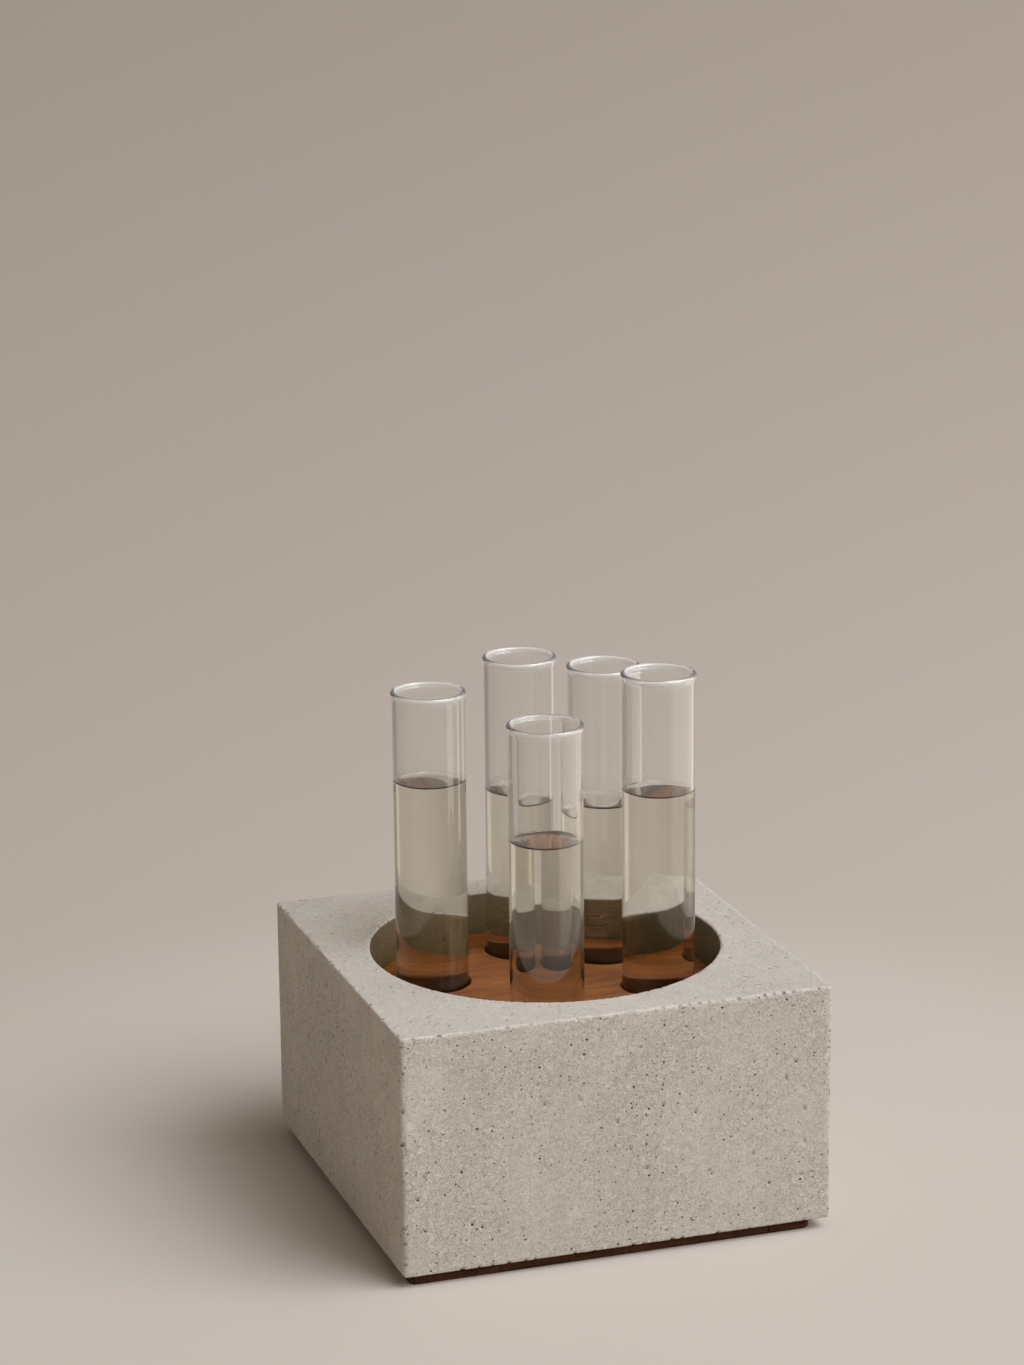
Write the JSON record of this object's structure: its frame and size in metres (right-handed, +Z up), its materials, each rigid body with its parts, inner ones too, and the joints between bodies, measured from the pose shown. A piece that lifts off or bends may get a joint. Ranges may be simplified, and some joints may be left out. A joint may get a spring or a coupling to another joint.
{
  "type": "concrete vase",
  "caption": "Square concrete block with a round well, a wooden disc in the well that holds glass test tubes upright for cut stems, and a thin wooden plate underneath.",
  "frame": {"origin": "middle of the footprint, on the surface that the vase stands on", "axes": "+Z up, -Y towards the front face, X and Y square to the block's sides"},
  "size_m": [0.15, 0.15, 0.1823],
  "materials": {
    "concrete": "cast, matt, with fine air holes",
    "disc_wood": "oiled",
    "glass": "clear, fire-polished rim",
    "plate_wood": "dark stained"
  },
  "bodies": {
    "stand": {"concrete_block": "concrete", "base_plate": "plate_wood"},
    "disc": {"wood_disc": "disc_wood"},
    "front_left": {"tube_front_left": "glass"},
    "front_centre": {"tube_front_centre": "glass"},
    "front_right": {"tube_front_right": "glass"},
    "back_left": {"tube_back_left": "glass"},
    "back_right": {"tube_back_right": "glass"}
  },
  "joints": [
    {"name": "disc_lift", "type": "slide", "parent": "stand", "child": "disc", "axis": [0, 0, 1], "range_m": [0, 0.125]},
    {"name": "front_left_lift", "type": "slide", "parent": "stand", "child": "front_left", "axis": [0, 0, 1], "range_m": [0, 0.16]},
    {"name": "front_centre_lift", "type": "slide", "parent": "stand", "child": "front_centre", "axis": [0, 0, 1], "range_m": [0, 0.16]},
    {"name": "front_right_lift", "type": "slide", "parent": "stand", "child": "front_right", "axis": [0, 0, 1], "range_m": [0, 0.16]},
    {"name": "back_left_lift", "type": "slide", "parent": "stand", "child": "back_left", "axis": [0, 0, 1], "range_m": [0, 0.16]},
    {"name": "back_right_lift", "type": "slide", "parent": "stand", "child": "back_right", "axis": [0, 0, 1], "range_m": [0, 0.16]}
  ]
}
